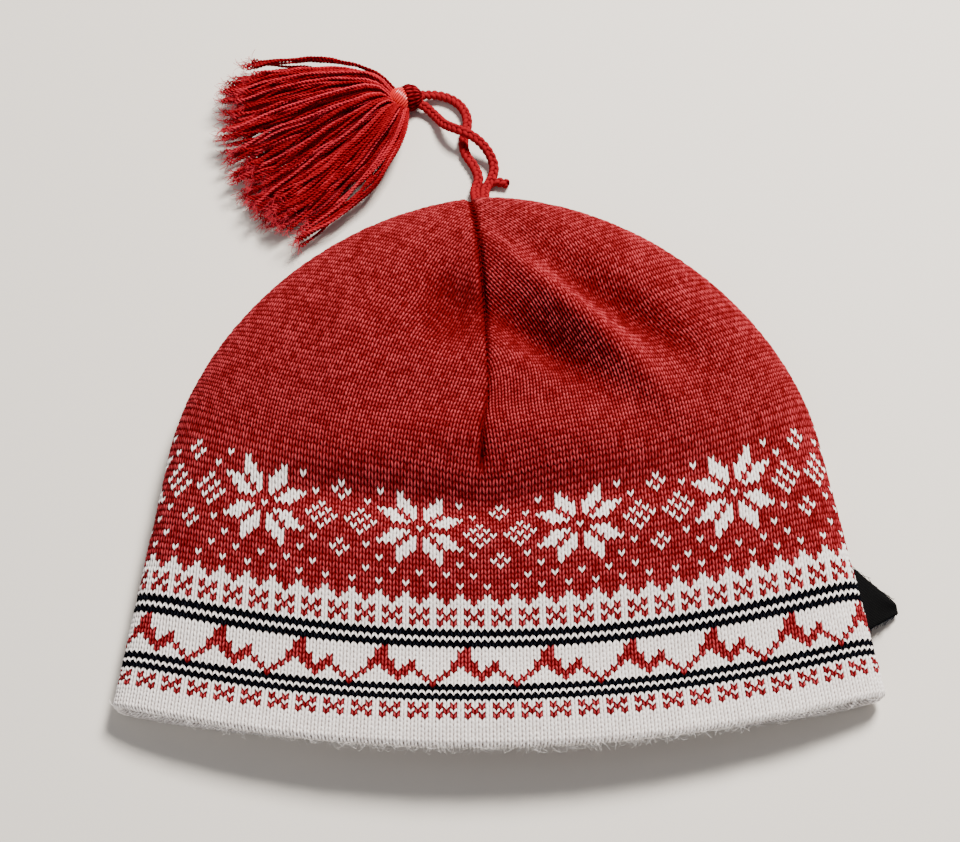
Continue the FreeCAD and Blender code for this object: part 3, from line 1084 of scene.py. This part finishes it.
def wound_ball(name, centre, axis, radii, threads, node):
    """Ball of smooth threads that run side by side over it, from the cord towards the skirt."""
    along = np.linspace(0.02, math.pi - 0.02, 60)
    polar, turn = np.meshgrid(along, np.linspace(0, 2 * math.pi, threads * 6 + 1))
    axis, side, other = square_to(axis)
    twisted = turn + 0.5 * polar
    round_axis = np.cos(twisted)[..., None] * side + np.sin(twisted)[..., None] * other
    spread = np.sin(polar)[..., None] * round_axis
    outward = np.cos(polar)[..., None] * axis + spread
    ridge = np.abs(np.sin(threads * turn / 2))
    place = np.array(centre) + outward * (np.array(radii) - 0.25) + outward * (0.25 * ridge)[..., None]
    # Painted shade: darker in the grooves between the threads, lighter on their ridges
    shade = np.clip(ridge * 1.3, 0, 1)
    quads = grid_quads(*turn.shape)
    return make_piece(name, place.reshape(-1, 3), quads, [SATIN], "tassel", [node], None, shade)


def tassel_binding():
    """Turns of thread wound round the neck of the tassel."""
    axis = unit(np.array([math.cos(MASS_MIDDLE), math.sin(MASS_MIDDLE), -0.1]))
    side = np.cross(axis, (0.0, 0.0, 1.0))
    other = np.cross(axis, side)
    t = np.linspace(0, 1, 260)
    turn = 2 * math.pi * 7 * t
    centre = KNOT + axis * (4.2 + 3.2 * t)[:, None]
    path = centre + 3.3 * (np.cos(turn)[:, None] * side + np.sin(turn)[:, None] * other)
    points, quads = tubes(path[None], 0.33, 6)
    return make_piece("tassel_binding", points, quads, [SATIN], "tassel", ["tassel_neck"])


def tassel():
    """The whole tassel; returns the pieces that the cord's end is held in."""
    toward_skirt = (math.cos(MASS_MIDDLE), math.sin(MASS_MIDDLE), 0.0)
    middle = KNOT - np.array((2.0, 0.8, 0))
    wrap = wound_ball("tassel_knot_wrap", middle, toward_skirt, (4.4, 4.7, 4.7), 26, "tassel_knot")
    middle = KNOT + np.array((1.3, 0.5, -0.2))
    radii = (4.5, 4.7, 4.6)
    ball = knitted_ball("tassel_knot_cord", middle, (0.9, 0.2, 0), radii, 10, "tassel", "tassel_knot")
    binding = tassel_binding()
    tassel_skirt()
    tassel_fray()
    return [wrap, ball, binding]


# ---------------- label
LABEL_REACH = 12.0
LABEL_TIP_WIDTH = 3.4
LABEL_TIP_SHIFT = -3.4
LABEL_THICKNESS = 1.2
LABEL_DROOP = math.radians(20.0)
LABEL_STRAYS = 46


def label_surface(u, v, z):
    """Point of the label tab; u runs along the seam, v from the seam to the tip."""
    low = np.array([half_width(LABEL_LOW_Y, 0.0), LABEL_LOW_Y, EDGE_Z])
    high = np.array([half_width(LABEL_HIGH_Y, 0.0), LABEL_HIGH_Y, EDGE_Z])
    along = unit(high - low)
    out = np.array([along[1], -along[0], 0.0])
    middle = (low + high) / 2
    half = (np.linalg.norm(high - low) / 2) * (1 - v) + LABEL_TIP_WIDTH / 2 * v
    reach = v * (LABEL_REACH + 1.0)
    level = reach * math.cos(LABEL_DROOP)
    point = middle + along * (u * half + LABEL_TIP_SHIFT * v)[..., None] + out * level[..., None]
    point[..., 2] = EDGE_Z - reach * math.sin(LABEL_DROOP) + z
    return point


def label_tape():
    """Folded black tape: two layers closed along the outer fold."""
    u, t = np.meshgrid(np.linspace(-1, 1, 50), np.linspace(0, 2, 90))
    v = np.where(t <= 1, t, 2 - t)
    fold = np.sqrt(np.clip(1 - v ** 14, 0, 1))
    edge = np.sqrt(np.clip(1 - np.abs(u) ** 12, 0, 1))
    wave = 0.22 * np.sin(2.4 * u + 1.0) * v + 0.15 * np.sin(5.0 * u * v)
    gap = LABEL_THICKNESS / 2 * fold * (0.55 + 0.45 * edge)
    z = wave + np.where(t <= 1, gap, -gap)
    points = label_surface(u, v, z).reshape(-1, 3)
    quads = grid_quads(*u.shape)
    make_piece("label_tape", points, quads, [LABEL_TEXTILE], "label", ["label_tab"])


def label_fray():
    """Stray threads along the tape's cut edges."""
    rng = np.random.default_rng(3)
    root_u = rng.choice((-1.0, 1.0), LABEL_STRAYS)
    root_v = rng.uniform(0.05, 1.0, LABEL_STRAYS)
    stray = np.linspace(0, 1, 5)[None, :]
    u = root_u[:, None] * (1 + rng.uniform(0.03, 0.22, (LABEL_STRAYS, 1)) * stray)
    v = np.clip(root_v[:, None] + rng.normal(0, 0.12, (LABEL_STRAYS, 1)) * stray, 0.02, 1.08)
    z = rng.normal(0, 0.7, (LABEL_STRAYS, 1)) * stray
    points, quads = tubes(label_surface(u, v, z), 0.09, 3)
    make_piece("label_fray", points, quads, [BLACK_YARN], "label")


# ---------------- stage, lights and camera
CAMERA_LOOK = Vector((-4.4, 12.6, 15.0)) * MM
CAMERA_ELEVATION = math.radians(61.0)
CAMERA_ROLL = math.radians(-0.9)
CAMERA_DISTANCE = 0.560
CAMERA_LENS = 67.0


def camera():
    """Camera that looks down at the hat from the hem's side."""
    data = bpy.data.cameras.new("camera")
    data.lens = CAMERA_LENS
    data.sensor_width = 36.0
    holder = bpy.data.objects.new("camera", data)
    back = Vector((0, -math.cos(CAMERA_ELEVATION), math.sin(CAMERA_ELEVATION)))
    holder.location = CAMERA_LOOK + back * CAMERA_DISTANCE
    tilt = Matrix.Rotation(math.pi / 2 - CAMERA_ELEVATION, 3, "X")
    holder.rotation_euler = (tilt @ Matrix.Rotation(CAMERA_ROLL, 3, "Z")).to_euler()
    bpy.context.scene.collection.objects.link(holder)
    bpy.context.scene.camera = holder


def floor():
    """Plain floor for the hat to lie on."""
    mesh = bpy.data.meshes.new("floor")
    reach = 6.0
    corners = [(-reach, -reach, 0), (reach, -reach, 0), (reach, reach, 0), (-reach, reach, 0)]
    mesh.from_pydata(corners, [], [(0, 1, 2, 3)])
    plane = bpy.data.objects.new("floor", mesh)
    bpy.context.scene.collection.objects.link(plane)
    material, _, _, shader = new_material("floor_paint")
    shader.inputs["Base Color"].default_value = (0.72, 0.68, 0.62, 1)
    shader.inputs["Roughness"].default_value = 0.7
    mesh.materials.append(material)


def area_light(name, place, size, power, colour):
    """Square lamp aimed at the origin."""
    data = bpy.data.lights.new(name, "AREA")
    data.size = size
    data.energy = power
    data.color = colour
    lamp = bpy.data.objects.new(name, data)
    lamp.location = place
    lamp.rotation_euler = (-Vector(place)).to_track_quat("-Z", "Y").to_euler()
    bpy.context.scene.collection.objects.link(lamp)


def lights():
    """Warm key light from behind, weak fill light and a faint even sky."""
    area_light("key", (0.42, 0.58, 1.0), 0.36, 44.0, (1.0, 0.95, 0.89))
    area_light("fill", (-0.7, -0.6, 0.9), 1.4, 5.0, (1.0, 0.98, 0.96))
    world = bpy.data.worlds.new("world")
    world.use_nodes = True
    sky = world.node_tree.nodes["Background"]
    sky.inputs["Color"].default_value = (0.9, 0.92, 1.0, 1)
    sky.inputs["Strength"].default_value = 0.22
    bpy.context.scene.world = world


camera()
floor()
lights()
knit_band()
knit_crown()
seams()
hem_fibres()
fleece_headband()
cord_root()
cord_leg("cord_knit_a", LEG_A_ROUTE, "cord_leg_a", tassel())
cord_leg("cord_knit_b", LEG_B_ROUTE, "cord_leg_b", [cord_stub()])
label_tape()
label_fray()
